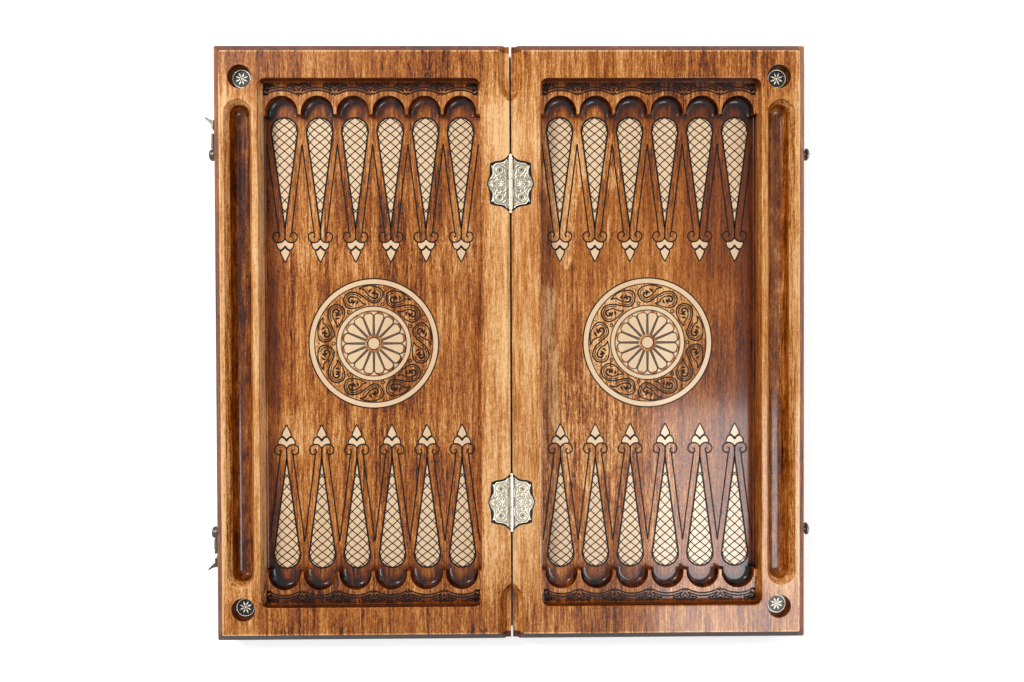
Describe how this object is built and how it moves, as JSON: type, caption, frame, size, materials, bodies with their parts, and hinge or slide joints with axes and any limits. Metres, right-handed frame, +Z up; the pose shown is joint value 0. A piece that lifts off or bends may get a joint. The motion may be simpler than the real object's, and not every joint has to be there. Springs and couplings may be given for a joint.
{
  "type": "chess and backgammon board",
  "caption": "Folding wooden game board: carved backgammon trays inside, chess squares outside, hinged halves and side hooks.",
  "frame": {"origin": "on the resting plane under the middle of the seam, with the board lying open", "axes": "+X across the seam from the left half to the right half, +Y along the seam, +Z up out of the trays"},
  "size_m": [0.6135, 0.6, 0.0378],
  "materials": {
    "carved_wood": "varnished",
    "pale_inlay": "varnished",
    "light_veneer": "varnished",
    "dark_veneer": "varnished",
    "black_enamel": "gloss enamel",
    "antique_nickel": "antique",
    "bright_nickel": "polished",
    "dark_iron": "dark"
  },
  "bodies": {
    "left_half": {"left_chess_dark_squares": "dark_veneer", "left_chess_light_squares": "light_veneer", "left_crown_inlays": "pale_inlay", "left_drop_inlays": "pale_inlay", "left_panel": "carved_wood", "left_point_inlays": "pale_inlay", "left_rosette_hub": "pale_inlay", "left_rosette_petals": "pale_inlay", "left_rosette_rings": "pale_inlay", "lower_hinge_left_nails": "dark_iron", "lower_hinge_left_plate": "antique_nickel", "lower_hinge_pin": "bright_nickel", "lower_hook_backplate": "dark_iron", "lower_hook_screw": "antique_nickel", "lower_left_medallion": "black_enamel", "upper_hinge_left_nails": "dark_iron", "upper_hinge_left_plate": "antique_nickel", "upper_hinge_pin": "bright_nickel", "upper_hook_backplate": "dark_iron", "upper_hook_screw": "antique_nickel", "upper_left_medallion": "black_enamel"},
    "right_half": {"lower_hinge_right_nails": "dark_iron", "lower_hinge_right_plate": "antique_nickel", "lower_right_medallion": "black_enamel", "lower_stud": "antique_nickel", "right_chess_dark_squares": "dark_veneer", "right_chess_light_squares": "light_veneer", "right_crown_inlays": "pale_inlay", "right_drop_inlays": "pale_inlay", "right_panel": "carved_wood", "right_point_inlays": "pale_inlay", "right_rosette_hub": "pale_inlay", "right_rosette_petals": "pale_inlay", "right_rosette_rings": "pale_inlay", "upper_hinge_right_nails": "dark_iron", "upper_hinge_right_plate": "antique_nickel", "upper_right_medallion": "black_enamel", "upper_stud": "antique_nickel"},
    "upper_hook": {"upper_hook": "antique_nickel"},
    "lower_hook": {"lower_hook": "antique_nickel"}
  },
  "joints": [
    {"name": "fold", "type": "hinge", "parent": "left_half", "child": "right_half", "pos_m": [0, 0, 0.0352], "axis": [0, -1, 0], "range_deg": [0, 180]},
    {"name": "upper_hook_swing", "type": "hinge", "parent": "left_half", "child": "upper_hook", "pos_m": [-0.3, 0.1915, 0.0235], "axis": [1, 0, 0], "range_deg": [0, 90]},
    {"name": "lower_hook_swing", "type": "hinge", "parent": "left_half", "child": "lower_hook", "pos_m": [-0.3, -0.1915, 0.0235], "axis": [-1, 0, 0], "range_deg": [0, 90]}
  ]
}
